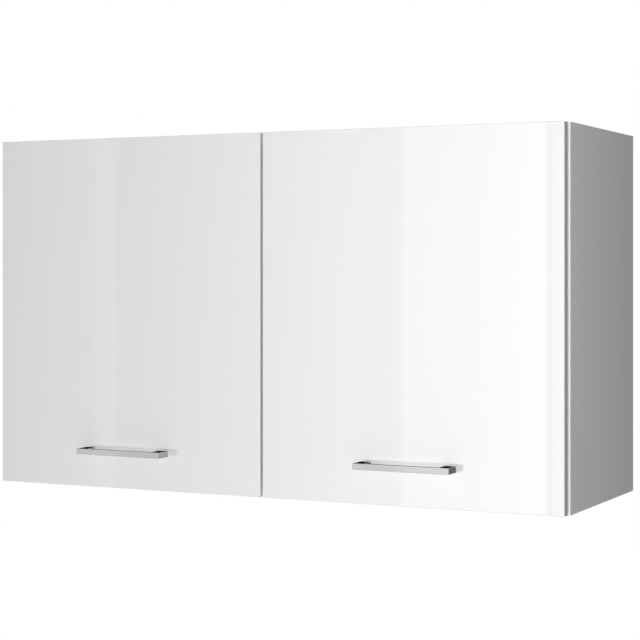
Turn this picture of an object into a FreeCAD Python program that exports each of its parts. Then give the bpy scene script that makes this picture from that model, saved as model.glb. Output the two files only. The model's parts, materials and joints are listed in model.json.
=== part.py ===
import FreeCAD, Part
import os
import re
import Sketcher

# Wall cabinet with two doors. X runs to the right seen from the front, Y runs back to the wall, Z is up.
# The origin lies on the wall, midway between the two wall screws.
# The left half is modelled, and the right half is its mirror image in the plane X = 0.

# Driving dimensions in millimetres
SIZES = {
    "carcass_width": 1000,
    "carcass_height": 576,
    "carcass_depth": 325,
    "panel_thickness": 16,
    "edge_band_thickness": 1,
    "wall_screw_drop": 60,
    "overrun": 1,
    "fit_play": 0.05,
    "hole_play": 0.1,
    # back panel in its grooves
    "back_thickness": 3,
    "back_set_in": 18,
    "groove_depth": 7,
    "groove_end_play": 0.5,
    # adjustable shelf and its pins
    "shelf_setback": 20,
    "shelf_side_play": 1,
    "shelf_rear_play": 2,
    "pin_row_inset": 37,
    "pin_row_spacing": 224,
    "pin_row_step": 32,
    "lowest_pin_height": 212,
    "pin_stem_radius": 2.5,
    "pin_stem_length": 9,
    "pin_hole_depth": 10,
    "pin_peg_radius": 3.5,
    "pin_peg_length": 8,
    # corner joints with cams and dowels
    "cam_row_inset": 50,
    "dowel_step": 32,
    "cam_distance": 24,
    "cam_radius": 7.5,
    "cam_height": 12,
    "cam_hole_play": 0.4,
    "cam_recess_depth": 3,
    "bolt_thread_radius": 2.5,
    "bolt_thread_length": 11,
    "bolt_shank_radius": 3.3,
    "bolt_neck_radius": 1.8,
    "bolt_neck_length": 6.5,
    "bolt_head_length": 2.5,
    "bolt_chamber_play": 0.4,
    "dowel_radius": 4,
    "dowel_in_side": 10,
    "dowel_in_end": 20,
    "dowel_end_play": 0.5,
    "dowel_chamfer": 0.8,
    "cam_cover_radius": 8.5,
    "cam_cover_thickness": 1,
    # doors
    "door_thickness": 18,
    "door_gap": 3,
    "door_side_inset": 2,
    "door_end_inset": 0.5,
    "door_meeting_gap": 4,
    "door_edge_radius": 1,
    "bumper_radius": 4,
    "bumper_height": 2.7,
    "bumper_inset": 14,
    # hinges
    "hinge_inset": 100,
    "cup_edge_distance": 3,
    "cup_radius": 17.5,
    "cup_depth": 13,
    "cup_wall": 1,
    "cup_floor": 0.9,
    "cup_flange_thickness": 1.2,
    "cup_flange_length": 62,
    "cup_flange_width": 16,
    "cup_flange_corner": 6,
    "cup_screw_spacing": 48,
    "cup_screw_offset": 6,
    "hinge_pin_radius": 1.25,
    "hinge_pin_length": 20,
    "hinge_pin_edge_distance": 7.5,
    "hinge_pin_depth": 9.5,
    "lug_half_width": 3.8,
    "lug_above_pin": 3.2,
    "eye_radius": 2.3,
    "eye_side_play": 0.4,
    "neck_width": 10,
    "neck_below_pin": 2.1,
    "arm_sheet": 2.5,
    "arm_bend_radius": 3,
    "arm_width": 16.6,
    "arm_flange_sheet": 1.5,
    "arm_flange_start": 6,
    "arm_length": 62,
    "arm_front_screw": 28,
    "arm_rear_screw": 54,
    "plate_base_thickness": 1.6,
    "plate_wing_length": 48,
    "plate_wing_width": 16,
    "plate_screw_spacing": 32,
    "rib_height": 7,
    "rib_length": 38,
    "rib_side_play": 0.3,
    "rib_edge_radius": 1.2,
    "wing_corner_radius": 6,
    "arm_edge_radius": 1,
    # hangers and wall plates
    "hanger_depth": 42,
    "hanger_height": 56,
    "hanger_reach": 15,
    "hanger_sheet": 1.5,
    "hanger_top_gap": 2,
    "hanger_peg_radius": 5,
    "hanger_peg_length": 11,
    "hanger_peg_spacing": 32,
    "hook_inset": 6,
    "hook_thickness": 3,
    "hook_front_gap": 5,
    "hook_rear_gap": 2,
    "hook_arm_height": 8,
    "hook_block_drop": 18,
    "hook_tip_thickness": 3.5,
    "hook_tip_drop": 8,
    "hook_wall_gap": 1.5,
    "hook_slot_play": 1.5,
    "lip_height": 26,
    "lip_standoff": 6,
    "wall_plate_sheet": 2.5,
    "wall_plate_width": 60,
    "wall_plate_side_gap": 4,
    "wall_plate_drop": 16,
    "wall_plate_rise": 14,
    "wall_screw_hole_radius": 4.25,
    "hanger_screw_spacing": 14,
    "hanger_cover_sheet": 1.2,
    "hanger_cover_play": 0.6,
    "hanger_cover_radius": 2,
    # handles
    "handle_length": 158,
    "handle_height": 9.8,
    "handle_projection": 29,
    "handle_bar_depth": 6,
    "handle_leg_width": 18.5,
    "handle_hole_inset": 15,
    "handle_hole_end_play": 2,
    "handle_centre_height": 60.6,
    "handle_edge_radius": 0.8,
    # screws
    "plate_screw_radius": 2.5,
    "plate_screw_length": 13,
    "plate_screw_head_radius": 4.2,
    "plate_screw_head_height": 2,
    "arm_screw_radius": 2.5,
    "arm_screw_length": 8,
    "arm_screw_head_radius": 4.2,
    "arm_screw_head_height": 2.4,
    "cup_screw_radius": 1.6,
    "cup_screw_length": 13,
    "cup_screw_head_radius": 3.4,
    "cup_screw_head_height": 1.6,
    "hanger_screw_radius": 2.5,
    "hanger_screw_length": 5,
    "hanger_screw_head_radius": 4,
    "hanger_screw_head_height": 2.2,
    "handle_screw_radius": 2,
    "handle_screw_grip": 12,
    "handle_screw_head_radius": 4,
    "handle_screw_head_height": 2.4,
    "recess_width": 0.9,
}

PIN_ROWS = 5
SHELF_ROW = 2
RECESS_DEPTH_SHARE = 0.6
RECESS_LENGTH_SHARE = 1.2
STRAIGHT_SHARE = 0.999

# Places worked out from the sizes, as expressions
OUTER = "(-carcass_width / 2)"
INNER = f"({OUTER} + panel_thickness)"
TOP = "wall_screw_drop"
BOTTOM = "(wall_screw_drop - carcass_height)"
CEILING = f"({TOP} - panel_thickness)"
FLOOR = f"({BOTTOM} + panel_thickness)"
FRONT = "(-carcass_depth)"
CORE_FRONT = "(edge_band_thickness - carcass_depth)"
BACK_FACE = "(-back_set_in - back_thickness)"
GROOVE_FRONT = f"({BACK_FACE} - fit_play)"
GROOVE_REAR = "(fit_play - back_set_in)"
DOOR_BACK = "(-carcass_depth - door_gap)"
DOOR_FRONT = f"({DOOR_BACK} - door_thickness)"
DOOR_OUTER = f"({OUTER} + door_side_inset)"
DOOR_FREE_EDGE = "(-door_meeting_gap / 2)"
HINGE_LEVELS = {
    "upper": f"({TOP} - door_end_inset - hinge_inset)",
    "lower": f"({BOTTOM} + door_end_inset + hinge_inset)",
}
PLATE_LINE = "(pin_row_inset - carcass_depth)"
PLATE_SCREW_SIGNS = (-1, 1)
CAM_ROWS = ("(cam_row_inset - carcass_depth)", "(-cam_row_inset - back_set_in)")
DOWEL_ROWS = (f"({CAM_ROWS[0]} + dowel_step)", f"({CAM_ROWS[1]} - dowel_step)")

doc = FreeCAD.newDocument("wall_cabinet")
sheet = doc.addObject("Spreadsheet::Sheet", "Sizes")
nodes = []


def fill_sheet():
    """One row for each size: its name, then its value under that alias."""
    for row, (name, number) in enumerate(SIZES.items(), 1):
        sheet.set(f"A{row}", name)
        sheet.set(f"B{row}", str(number))
        sheet.setAlias(f"B{row}", name)
    doc.recompute()


def sized(text):
    """Point each size name in an expression at its cell."""
    def cell(found):
        word = found.group()
        return "Sizes." + word if word in SIZES else word
    return re.sub(r"[a-z_]+", cell, text)


def value(text):
    """The present value of an expression, as a plain number."""
    return float(sheet.evalExpression(sized(text)))


def bind(thing, **sizes):
    for name, text in sizes.items():
        thing.setExpression(name, sized(text))


def place(thing, x, y, z):
    for axis, text in zip("xyz", (x, y, z)):
        thing.setExpression(f"Placement.Base.{axis}", sized(text))


def node(thing, label):
    """Register a finished sub-part under the name of its file."""
    thing.Label = label
    nodes.append(thing)
    return thing


def mirrored(source, label):
    """The same piece on the other side of the cabinet."""
    image = doc.addObject("Part::Mirroring", label)
    image.Source = source
    image.Normal = (1, 0, 0)
    return image


# Part primitives and booleans

def box(name, x, y, z, length, width, height):
    block = doc.addObject("Part::Box", name)
    bind(block, Length=length, Width=width, Height=height)
    place(block, x, y, z)
    return block


def turn(thing, direction):
    """Turn a piece made along Z so that it points the given way."""
    aim = FreeCAD.Rotation(FreeCAD.Vector(0, 0, 1), FreeCAD.Vector(*direction))
    thing.Placement = FreeCAD.Placement(FreeCAD.Vector(), aim)


def rod(name, direction, x, y, z, radius, length):
    """A cylinder that starts at a point and runs the given way."""
    cylinder = doc.addObject("Part::Cylinder", name)
    bind(cylinder, Radius=radius, Height=length)
    turn(cylinder, direction)
    place(cylinder, x, y, z)
    return cylinder


def fuse(name, pieces):
    whole = doc.addObject("Part::MultiFuse", name)
    whole.Shapes = pieces
    whole.Refine = True
    return whole


def cut(name, base, tool):
    rest = doc.addObject("Part::Cut", name)
    rest.Base = base
    rest.Tool = tool
    return rest


def group(label, pieces):
    """Identical fasteners as one node, a group of separate solids."""
    compound = doc.addObject("Part::Compound", label)
    compound.Links = pieces
    return node(compound, label)


# PartDesign bodies

def new_body(label):
    body = doc.addObject("PartDesign::Body", label)
    return node(body, label)


def new_sketch(body, name, plane, offset):
    """A sketch parallel to one of the body's own planes. On XZ_Plane the offset runs towards -Y."""
    sketch = body.newObject("Sketcher::SketchObject", name)
    origin_plane = next(item for item in body.Origin.OriginFeatures if item.Role == plane)
    sketch.AttachmentSupport = (origin_plane, [""])
    sketch.MapMode = "FlatFace"
    sketch.setExpression("AttachmentOffset.Base.z", sized(offset))
    return sketch


def fix_point(sketch, geometry, point, x, y):
    """Hold a sketch point at its two coordinates, measured from the sketch's origin."""
    for kind, text in (("DistanceX", x), ("DistanceY", y)):
        index = sketch.addConstraint(Sketcher.Constraint(kind, -1, 1, geometry, point, value(text)))
        sketch.setExpression(f"Constraints[{index}]", sized(text))


def outline(sketch, corners):
    """A closed polygon through the corners."""
    first = sketch.GeometryCount
    count = len(corners)
    points = [FreeCAD.Vector(value(x), value(y), 0) for x, y in corners]
    for number, start in enumerate(points):
        sketch.addGeometry(Part.LineSegment(start, points[(number + 1) % count]))
    for number in range(count):
        following = first + (number + 1) % count
        sketch.addConstraint(Sketcher.Constraint("Coincident", first + number, 2, following, 1))
    for number, (x, y) in enumerate(corners):
        fix_point(sketch, first + number, 1, x, y)


def rectangle(sketch, x_low, y_low, x_high, y_high):
    outline(sketch, [(x_low, y_low), (x_high, y_low), (x_high, y_high), (x_low, y_high)])


def circle(sketch, x, y, radius):
    centre = FreeCAD.Vector(value(x), value(y), 0)
    index = sketch.addGeometry(Part.Circle(centre, FreeCAD.Vector(0, 0, 1), value(radius)))
    fix_point(sketch, index, 3, x, y)
    limit = sketch.addConstraint(Sketcher.Constraint("Radius", index, value(radius)))
    sketch.setExpression(f"Constraints[{limit}]", sized(radius))


def pad(body, sketch, length, backwards=False):
    feature = body.newObject("PartDesign::Pad", sketch.Name + "_pad")
    feature.Profile = sketch
    feature.Reversed = backwards
    bind(feature, Length=length)
    doc.recompute()
    return feature


def pocket(body, sketch, length, backwards=False):
    """Cut the sketch into the body, and stop if it takes nothing away."""
    before = body.Tip.Shape.Volume
    feature = body.newObject("PartDesign::Pocket", sketch.Name + "_pocket")
    feature.Profile = sketch
    feature.Reversed = backwards
    bind(feature, Length=length)
    doc.recompute()
    if feature.Shape.Volume >= before:
        raise RuntimeError(f"{feature.Name} cuts nothing")
    return feature


def round_edges(body, name, radius, wanted):
    """Fillet the edges of the body's last feature that the test picks."""
    base = body.Tip
    picked = [f"Edge{number}" for number, edge in enumerate(base.Shape.Edges, 1) if wanted(edge)]
    feature = body.newObject("PartDesign::Fillet", name)
    feature.Base = (base, picked)
    bind(feature, Radius=radius)
    doc.recompute()
    return feature


def along(edge, axis):
    """Whether a straight edge runs along one of the axes X, Y, Z, numbered 0, 1, 2."""
    box_of_edge = edge.BoundBox
    spans = (box_of_edge.XLength, box_of_edge.YLength, box_of_edge.ZLength)
    return spans[axis] > edge.Length * STRAIGHT_SHARE


# Screws

def screw(name, kind, length, direction, x, y, z):
    """A pan-head screw with a cross recess. Its head seats at the point, and its shank runs the given way."""
    radius = f"{kind}_radius"
    head_radius = f"{kind}_head_radius"
    head_height = f"{kind}_head_height"
    shank = rod(name + "_shank", (0, 0, 1), "0", "0", "0", radius, length)
    head = rod(name + "_head", (0, 0, 1), "0", "0", f"-{head_height}", head_radius, head_height)
    half = f"{head_radius} * {RECESS_LENGTH_SHARE} / 2"
    depth = f"{head_height} * {RECESS_DEPTH_SHARE} + overrun"
    start = f"-{head_height} - overrun"
    bars = (
        box(name + "_recess_a", f"-{half}", "-recess_width / 2", start, f"2 * {half}", "recess_width", depth),
        box(name + "_recess_b", "-recess_width / 2", f"-{half}", start, "recess_width", f"2 * {half}", depth),
    )
    whole = cut(name, fuse(name + "_blank", [shank, head]), fuse(name + "_recess", bars))
    turn(whole, direction)
    place(whole, x, y, z)
    return whole


# Carcass

def pin_height(row):
    """Height of a row of shelf-pin holes."""
    return f"({BOTTOM} + lowest_pin_height + {row} * pin_row_step)"


PIN_COLUMNS = (PLATE_LINE, f"({PLATE_LINE} + pin_row_spacing)")
HANGER_TOP = f"({CEILING} - hanger_top_gap)"
HANGER_MIDDLE = f"({HANGER_TOP} - hanger_height / 2)"
HANGER_CENTRE_Y = f"({BACK_FACE} - hanger_depth / 2)"


def side_panel():
    body = new_body("left_side_panel")
    face = new_sketch(body, "side_outline", "YZ_Plane", OUTER)
    rectangle(face, CORE_FRONT, BOTTOM, "0", TOP)
    pad(body, face, "panel_thickness")
    groove = new_sketch(body, "side_groove", "YZ_Plane", INNER)
    rectangle(groove, GROOVE_FRONT, BOTTOM, GROOVE_REAR, TOP)
    pocket(body, groove, "groove_depth")
    pins = new_sketch(body, "side_pin_holes", "YZ_Plane", INNER)
    for column in PIN_COLUMNS:
        for row in range(PIN_ROWS):
            circle(pins, column, pin_height(row), "pin_stem_radius + fit_play")
    pocket(body, pins, "pin_hole_depth")
    screws = new_sketch(body, "side_plate_screw_holes", "YZ_Plane", INNER)
    for height in HINGE_LEVELS.values():
        for sign in PLATE_SCREW_SIGNS:
            at = f"{height} + {sign} * plate_screw_spacing / 2"
            circle(screws, PLATE_LINE, at, "plate_screw_radius + fit_play")
    pocket(body, screws, "plate_screw_length - plate_base_thickness + hole_play")
    bolts = new_sketch(body, "side_bolt_holes", "YZ_Plane", INNER)
    dowels = new_sketch(body, "side_dowel_holes", "YZ_Plane", INNER)
    for height in (f"{TOP} - panel_thickness / 2", f"{BOTTOM} + panel_thickness / 2"):
        for row in CAM_ROWS:
            circle(bolts, row, height, "bolt_thread_radius + fit_play")
        for row in DOWEL_ROWS:
            circle(dowels, row, height, "dowel_radius + fit_play")
    pocket(body, bolts, "bolt_thread_length + hole_play")
    pocket(body, dowels, "dowel_in_side + dowel_end_play")
    pegs = new_sketch(body, "side_hanger_holes", "YZ_Plane", INNER)
    for sign in (-1, 1):
        at = f"{HANGER_MIDDLE} + {sign} * hanger_peg_spacing / 2"
        circle(pegs, HANGER_CENTRE_Y, at, "hanger_peg_radius + fit_play")
    pocket(body, pegs, "hanger_peg_length + hole_play")
    return body


def deck(label, underside, groove_level, groove_up):
    """The top or bottom panel: a core between the sides, with its groove and the fastener holes."""
    body = new_body(label)
    face = new_sketch(body, label + "_outline", "XY_Plane", underside)
    rectangle(face, INNER, CORE_FRONT, f"-{INNER}", "0")
    pad(body, face, "panel_thickness")
    groove = new_sketch(body, label + "_groove", "XY_Plane", groove_level)
    rectangle(groove, INNER, GROOVE_FRONT, f"-{INNER}", GROOVE_REAR)
    pocket(body, groove, "groove_depth", groove_up)
    cams = new_sketch(body, label + "_cam_holes", "XY_Plane", f"{underside} + panel_thickness")
    for sign in ("", "-"):
        for row in CAM_ROWS:
            circle(cams, f"{sign}({INNER} + cam_distance)", row, "cam_radius + fit_play")
    pocket(body, cams, "cam_height + cam_hole_play")
    for end, backwards in ((INNER, True), (f"-{INNER}", False)):
        side = "left" if backwards else "right"
        bolts = new_sketch(body, f"{label}_{side}_bolt_holes", "YZ_Plane", end)
        dowels = new_sketch(body, f"{label}_{side}_dowel_holes", "YZ_Plane", end)
        middle = f"{underside} + panel_thickness / 2"
        for row in CAM_ROWS:
            circle(bolts, row, middle, "bolt_shank_radius + hole_play")
        for row in DOWEL_ROWS:
            circle(dowels, row, middle, "dowel_radius + fit_play")
        pocket(body, bolts, "cam_distance", backwards)
        pocket(body, dowels, "dowel_in_end + dowel_end_play", backwards)
    return body


def edge_bands():
    full = "carcass_height"
    band = "edge_band_thickness"
    left = node(box("left_band", OUTER, FRONT, BOTTOM, "panel_thickness", band, full), "left_edge_band")
    node(mirrored(left, "right_band"), "right_edge_band")
    span = f"-2 * {INNER}"
    node(box("top_band", INNER, FRONT, CEILING, span, band, "panel_thickness"), "top_edge_band")
    node(box("bottom_band", INNER, FRONT, BOTTOM, span, band, "panel_thickness"), "bottom_edge_band")


HOOK_X = f"({INNER} + hook_inset)"
HOOK_MIDDLE_X = f"({HOOK_X} + hook_thickness / 2)"
HOOK_SLOT_LOW = "(lip_height - hook_tip_drop - hook_slot_play)"
HOOK_SLOT_HEIGHT = "(hook_tip_drop + hook_arm_height + 2 * hook_slot_play)"


def back_panel():
    half = f"({INNER} - groove_depth + groove_end_play)"
    low = f"({FLOOR} - groove_depth + groove_end_play)"
    height = f"{CEILING} - {FLOOR} + 2 * (groove_depth - groove_end_play)"
    board = box("back_board", half, BACK_FACE, low, f"-2 * {half}", "back_thickness", height)
    width = "hook_thickness + 2 * hook_slot_play"
    slot = box("back_slot", f"{HOOK_X} - hook_slot_play", f"{BACK_FACE} - overrun", HOOK_SLOT_LOW,
               width, "back_thickness + 2 * overrun", HOOK_SLOT_HEIGHT)
    slots = fuse("back_slots", [slot, mirrored(slot, "back_slot_right")])
    node(cut("back_board_cut", board, slots), "back_panel")


SHELF_UNDERSIDE = f"({pin_height(SHELF_ROW)} + pin_peg_radius)"
SHELF_FRONT = "(shelf_setback - carcass_depth)"
SHELF_END = f"({INNER} + shelf_side_play)"


def shelf():
    core_front = f"({SHELF_FRONT} + edge_band_thickness)"
    depth = f"{BACK_FACE} - shelf_rear_play - {core_front}"
    span = f"-2 * {SHELF_END}"
    core = box("shelf_core", SHELF_END, core_front, SHELF_UNDERSIDE, span, depth, "panel_thickness")
    node(core, "shelf")
    band = box("shelf_band", SHELF_END, SHELF_FRONT, SHELF_UNDERSIDE, span,
               "edge_band_thickness", "panel_thickness")
    node(band, "shelf_edge_band")


def shelf_pins():
    pins = []
    for number, column in enumerate(PIN_COLUMNS):
        name = f"shelf_pin_{number}"
        height = pin_height(SHELF_ROW)
        start = f"{INNER} - pin_stem_length"
        stem = rod(name + "_stem", (1, 0, 0), start, column, height, "pin_stem_radius", "pin_stem_length")
        peg = rod(name + "_peg", (1, 0, 0), INNER, column, height, "pin_peg_radius", "pin_peg_length")
        pin = fuse(name, [stem, peg])
        pins += [pin, mirrored(pin, name + "_right")]
    group("shelf_pins", pins)


# Corner fittings

CAM_CENTRE = f"({INNER} + cam_distance)"
DECK_TOPS = {"top": TOP, "bottom": FLOOR}


def cam(name, row, surface):
    """A cam, flush with the panel's upper face. The bolt's head fits its chamber from below."""
    low = f"{surface} - cam_height"
    axis = f"({surface} - panel_thickness / 2)"
    drum = rod(name + "_drum", (0, 0, 1), CAM_CENTRE, row, low, "cam_radius", "cam_height")
    neck_half = "(bolt_neck_radius + bolt_chamber_play)"
    head_half = "(bolt_shank_radius + bolt_chamber_play)"
    neck_slot = box(name + "_neck_slot", f"{CAM_CENTRE} - cam_radius - overrun", f"{row} - {neck_half}",
                    f"{low} - overrun", "cam_radius + overrun", f"2 * {neck_half}",
                    f"{axis} + {neck_half} - ({low}) + overrun")
    chamber = box(name + "_chamber", f"{CAM_CENTRE} - bolt_head_length / 2 - bolt_chamber_play",
                  f"{row} - {head_half}", f"{low} - overrun", "bolt_head_length + 2 * bolt_chamber_play",
                  f"2 * {head_half}", f"{axis} + {head_half} - ({low}) + overrun")
    recess_half = f"cam_radius * {RECESS_LENGTH_SHARE} / 2"
    recess = []
    for letter, half_x, half_y in (("a", recess_half, "recess_width"), ("b", "recess_width", recess_half)):
        recess.append(box(f"{name}_recess_{letter}", f"{CAM_CENTRE} - {half_x}", f"{row} - {half_y}",
                          f"{surface} - cam_recess_depth", f"2 * {half_x}", f"2 * {half_y}",
                          "cam_recess_depth + overrun"))
    return cut(name, drum, fuse(name + "_hollows", [neck_slot, chamber, *recess]))


def cam_bolt(name, row, height):
    """A bolt screwed into the side, whose shank, neck and head reach the cam's centre."""
    head_start = f"{CAM_CENTRE} - bolt_head_length / 2"
    neck_start = f"({head_start} - bolt_neck_length)"
    thread = rod(name + "_thread", (1, 0, 0), f"{INNER} - bolt_thread_length", row, height,
                 "bolt_thread_radius", "bolt_thread_length")
    shank = rod(name + "_shank", (1, 0, 0), INNER, row, height, "bolt_shank_radius",
                f"{neck_start} - {INNER}")
    neck = rod(name + "_neck", (1, 0, 0), neck_start, row, height, "bolt_neck_radius", "bolt_neck_length")
    head = rod(name + "_head", (1, 0, 0), head_start, row, height, "bolt_shank_radius", "bolt_head_length")
    return fuse(name, [thread, shank, neck, head])


def dowel(name, row, height):
    length = "dowel_in_side + dowel_in_end"
    stick = rod(name + "_stick", (1, 0, 0), f"{INNER} - dowel_in_side", row, height, "dowel_radius", length)
    doc.recompute()
    rims = [number for number, edge in enumerate(stick.Shape.Edges, 1) if not along(edge, 0)]
    chamfer = doc.addObject("Part::Chamfer", name)
    chamfer.Base = stick
    size = value("dowel_chamfer")
    chamfer.Edges = [(number, size, size) for number in rims]
    return chamfer


def corner_fittings():
    cams = []
    bolts = []
    dowels = []
    covers = []
    for level, surface in DECK_TOPS.items():
        middle = f"({surface} - panel_thickness / 2)"
        for number, row in enumerate(CAM_ROWS):
            name = f"{level}_cam_{number}"
            lock = cam(name, row, surface)
            bolt = cam_bolt(name + "_bolt", row, middle)
            cams += [lock, mirrored(lock, name + "_right")]
            bolts += [bolt, mirrored(bolt, name + "_bolt_right")]
            if level == "bottom":
                cover = rod(name + "_cover", (0, 0, 1), CAM_CENTRE, row, surface, "cam_cover_radius",
                            "cam_cover_thickness")
                covers += [cover, mirrored(cover, name + "_cover_right")]
        for number, row in enumerate(DOWEL_ROWS):
            name = f"{level}_dowel_{number}"
            peg = dowel(name, row, middle)
            dowels += [peg, mirrored(peg, name + "_right")]
    group("cam_locks", cams)
    group("cam_bolts", bolts)
    group("wooden_dowels", dowels)
    group("cam_covers", covers)


# Hangers and wall plates

HANGER_FRONT = f"({BACK_FACE} - hanger_depth)"
HANGER_BOTTOM = f"({HANGER_TOP} - hanger_height)"
HOOK_FRONT = f"({HANGER_FRONT} + hook_front_gap)"
HANGER_SCREW_MIDDLE = "(lip_height + hook_arm_height / 2 - hook_block_drop / 2)"


def hanger_housing():
    """A folded channel on the side panel, with a wall in front and behind, and two pegs into the side."""
    body = new_body("left_hanger_body")
    plan = new_sketch(body, "hanger_plan", "XY_Plane", HANGER_BOTTOM)
    edge = f"({INNER} + hanger_reach)"
    sheet_x = f"({INNER} + hanger_sheet)"
    front_in = f"({HANGER_FRONT} + hanger_sheet)"
    rear_in = f"({BACK_FACE} - hanger_sheet)"
    outline(plan, [(INNER, HANGER_FRONT), (edge, HANGER_FRONT), (edge, front_in), (sheet_x, front_in),
                   (sheet_x, rear_in), (edge, rear_in), (edge, BACK_FACE), (INNER, BACK_FACE)])
    pad(body, plan, "hanger_height")
    pegs = new_sketch(body, "hanger_pegs", "YZ_Plane", INNER)
    for sign in (-1, 1):
        circle(pegs, HANGER_CENTRE_Y, f"{HANGER_MIDDLE} + {sign} * hanger_peg_spacing / 2",
               "hanger_peg_radius")
    pad(body, pegs, "hanger_peg_length", True)
    slot = new_sketch(body, "hanger_slot", "XZ_Plane", f"-{BACK_FACE}")
    rectangle(slot, f"{HOOK_X} - hook_slot_play", HOOK_SLOT_LOW,
              f"{HOOK_X} + hook_thickness + hook_slot_play", f"{HOOK_SLOT_LOW} + {HOOK_SLOT_HEIGHT}")
    pocket(body, slot, "hanger_sheet", True)
    holes = new_sketch(body, "hanger_screw_holes", "XZ_Plane", f"-{HANGER_FRONT}")
    for sign in (-1, 1):
        circle(holes, HOOK_MIDDLE_X, f"{HANGER_SCREW_MIDDLE} + {sign} * hanger_screw_spacing / 2",
               "hanger_screw_radius + fit_play")
    pocket(body, holes, "hanger_sheet")
    return body


def hook():
    """A flat plate whose arm passes the back panel and turns down behind the wall plate's lip."""
    body = new_body("left_hanger_hook")
    face = new_sketch(body, "hook_outline", "YZ_Plane", HOOK_X)
    arm_top = "(lip_height + hook_arm_height)"
    block_low = "(lip_height - hook_block_drop)"
    block_rear = f"({BACK_FACE} - hanger_sheet - hook_rear_gap)"
    tip_rear = "-hook_wall_gap"
    tip_front = "(-hook_wall_gap - hook_tip_thickness)"
    tip_low = "(lip_height - hook_tip_drop)"
    outline(face, [(HOOK_FRONT, block_low), (block_rear, block_low), (block_rear, "lip_height"),
                   (tip_front, "lip_height"), (tip_front, tip_low), (tip_rear, tip_low),
                   (tip_rear, arm_top), (HOOK_FRONT, arm_top)])
    pad(body, face, "hook_thickness")
    return body


def hanger_cover():
    """A clip-on cap, open towards the side panel and the back panel."""
    body = new_body("left_hanger_cover")
    play = "hanger_cover_play"
    wall = "hanger_cover_sheet"
    head_front = f"({HANGER_FRONT} - hanger_screw_head_height)"
    inner = (f"({INNER} + hanger_reach + {play})", f"({head_front} - {play})",
             f"({HANGER_BOTTOM} - {play})", f"({HANGER_TOP} + {play})")
    shell = new_sketch(body, "cover_outline", "XY_Plane", f"{inner[2]} - {wall}")
    rectangle(shell, INNER, f"{inner[1]} - {wall}", f"{inner[0]} + {wall}", BACK_FACE)
    pad(body, shell, f"{inner[3]} - {inner[2]} + 2 * {wall}")
    corner = FreeCAD.Vector(value(inner[0]), value(inner[1]), 0)
    round_edges(body, "cover_corner", "hanger_cover_radius",
                lambda edge: along(edge, 2) and edge.CenterOfMass.x > corner.x
                and edge.CenterOfMass.y < corner.y)
    hollow = new_sketch(body, "cover_hollow", "XY_Plane", inner[2])
    rectangle(hollow, f"{INNER} - overrun", inner[1], inner[0], f"{BACK_FACE} + overrun")
    pocket(body, hollow, f"{inner[3]} - {inner[2]}", True)
    return body


def wall_plate():
    """A folded plate screwed flat to the wall, with a lip that stands off for the hook."""
    body = new_body("left_wall_plate")
    near = f"({INNER} + wall_plate_side_gap)"
    profile = new_sketch(body, "wall_plate_profile", "YZ_Plane", near)
    lip_rear = "-lip_standoff"
    lip_front = "(-lip_standoff - wall_plate_sheet)"
    fold_low = "(wall_plate_rise - wall_plate_sheet)"
    outline(profile, [("0", "-wall_plate_drop"), ("0", "wall_plate_rise"), (lip_rear, "wall_plate_rise"),
                      (lip_rear, "lip_height"), (lip_front, "lip_height"), (lip_front, fold_low),
                      ("-wall_plate_sheet", fold_low), ("-wall_plate_sheet", "-wall_plate_drop")])
    pad(body, profile, "wall_plate_width")
    hole = new_sketch(body, "wall_plate_hole", "XZ_Plane", "0")
    circle(hole, f"{near} + wall_plate_width / 2", "0", "wall_screw_hole_radius")
    pocket(body, hole, "wall_plate_sheet + overrun", True)
    return body


def hangers():
    pieces = {
        "hanger_body": hanger_housing(),
        "hanger_hook": hook(),
        "hanger_cover": hanger_cover(),
        "wall_plate": wall_plate(),
    }
    for name, piece in pieces.items():
        node(mirrored(piece, "mirrored_" + name), "right_" + name)
    screws = []
    for number, sign in enumerate((-1, 1)):
        height = f"{HANGER_SCREW_MIDDLE} + {sign} * hanger_screw_spacing / 2"
        name = f"hanger_screw_{number}"
        one = screw(name, "hanger_screw", "hanger_screw_length", (0, 1, 0), HOOK_MIDDLE_X, HANGER_FRONT,
                    height)
        screws += [one, mirrored(one, name + "_right")]
    group("hanger_screws", screws)


# Doors

DOOR_WIDTH = f"({DOOR_FREE_EDGE} - {DOOR_OUTER})"
DOOR_CENTRE = f"(({DOOR_FREE_EDGE} + {DOOR_OUTER}) / 2)"
CUP_X = f"({DOOR_OUTER} + cup_edge_distance + cup_radius)"
CUP_SCREW_X = f"({CUP_X} + cup_screw_offset)"
HANDLE_HEIGHT = f"({BOTTOM} + handle_centre_height)"


def door_panel():
    body = new_body("left_door_panel")
    face = new_sketch(body, "door_outline", "XZ_Plane", f"-{DOOR_BACK}")
    rectangle(face, DOOR_OUTER, f"{BOTTOM} + door_end_inset", DOOR_FREE_EDGE, f"{TOP} - door_end_inset")
    pad(body, face, "door_thickness")
    round_edges(body, "door_edges", "door_edge_radius", lambda edge: True)
    cups = new_sketch(body, "door_cup_bores", "XZ_Plane", f"-{DOOR_BACK}")
    screws = new_sketch(body, "door_cup_screw_holes", "XZ_Plane", f"-{DOOR_BACK}")
    for height in HINGE_LEVELS.values():
        circle(cups, CUP_X, height, "cup_radius + fit_play")
        for sign in (-1, 1):
            circle(screws, CUP_SCREW_X, f"{height} + {sign} * cup_screw_spacing / 2",
                   "cup_screw_radius + fit_play")
    pocket(body, cups, "cup_depth + hole_play", True)
    pocket(body, screws, "cup_screw_length - cup_flange_thickness + hole_play", True)
    holes = new_sketch(body, "door_handle_holes", "XZ_Plane", f"-{DOOR_BACK}")
    for sign in (-1, 1):
        circle(holes, f"{DOOR_CENTRE} + {sign} * (handle_length / 2 - handle_hole_inset)", HANDLE_HEIGHT,
               "handle_screw_radius + hole_play")
    pocket(body, holes, "door_thickness + overrun", True)
    return body


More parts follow.
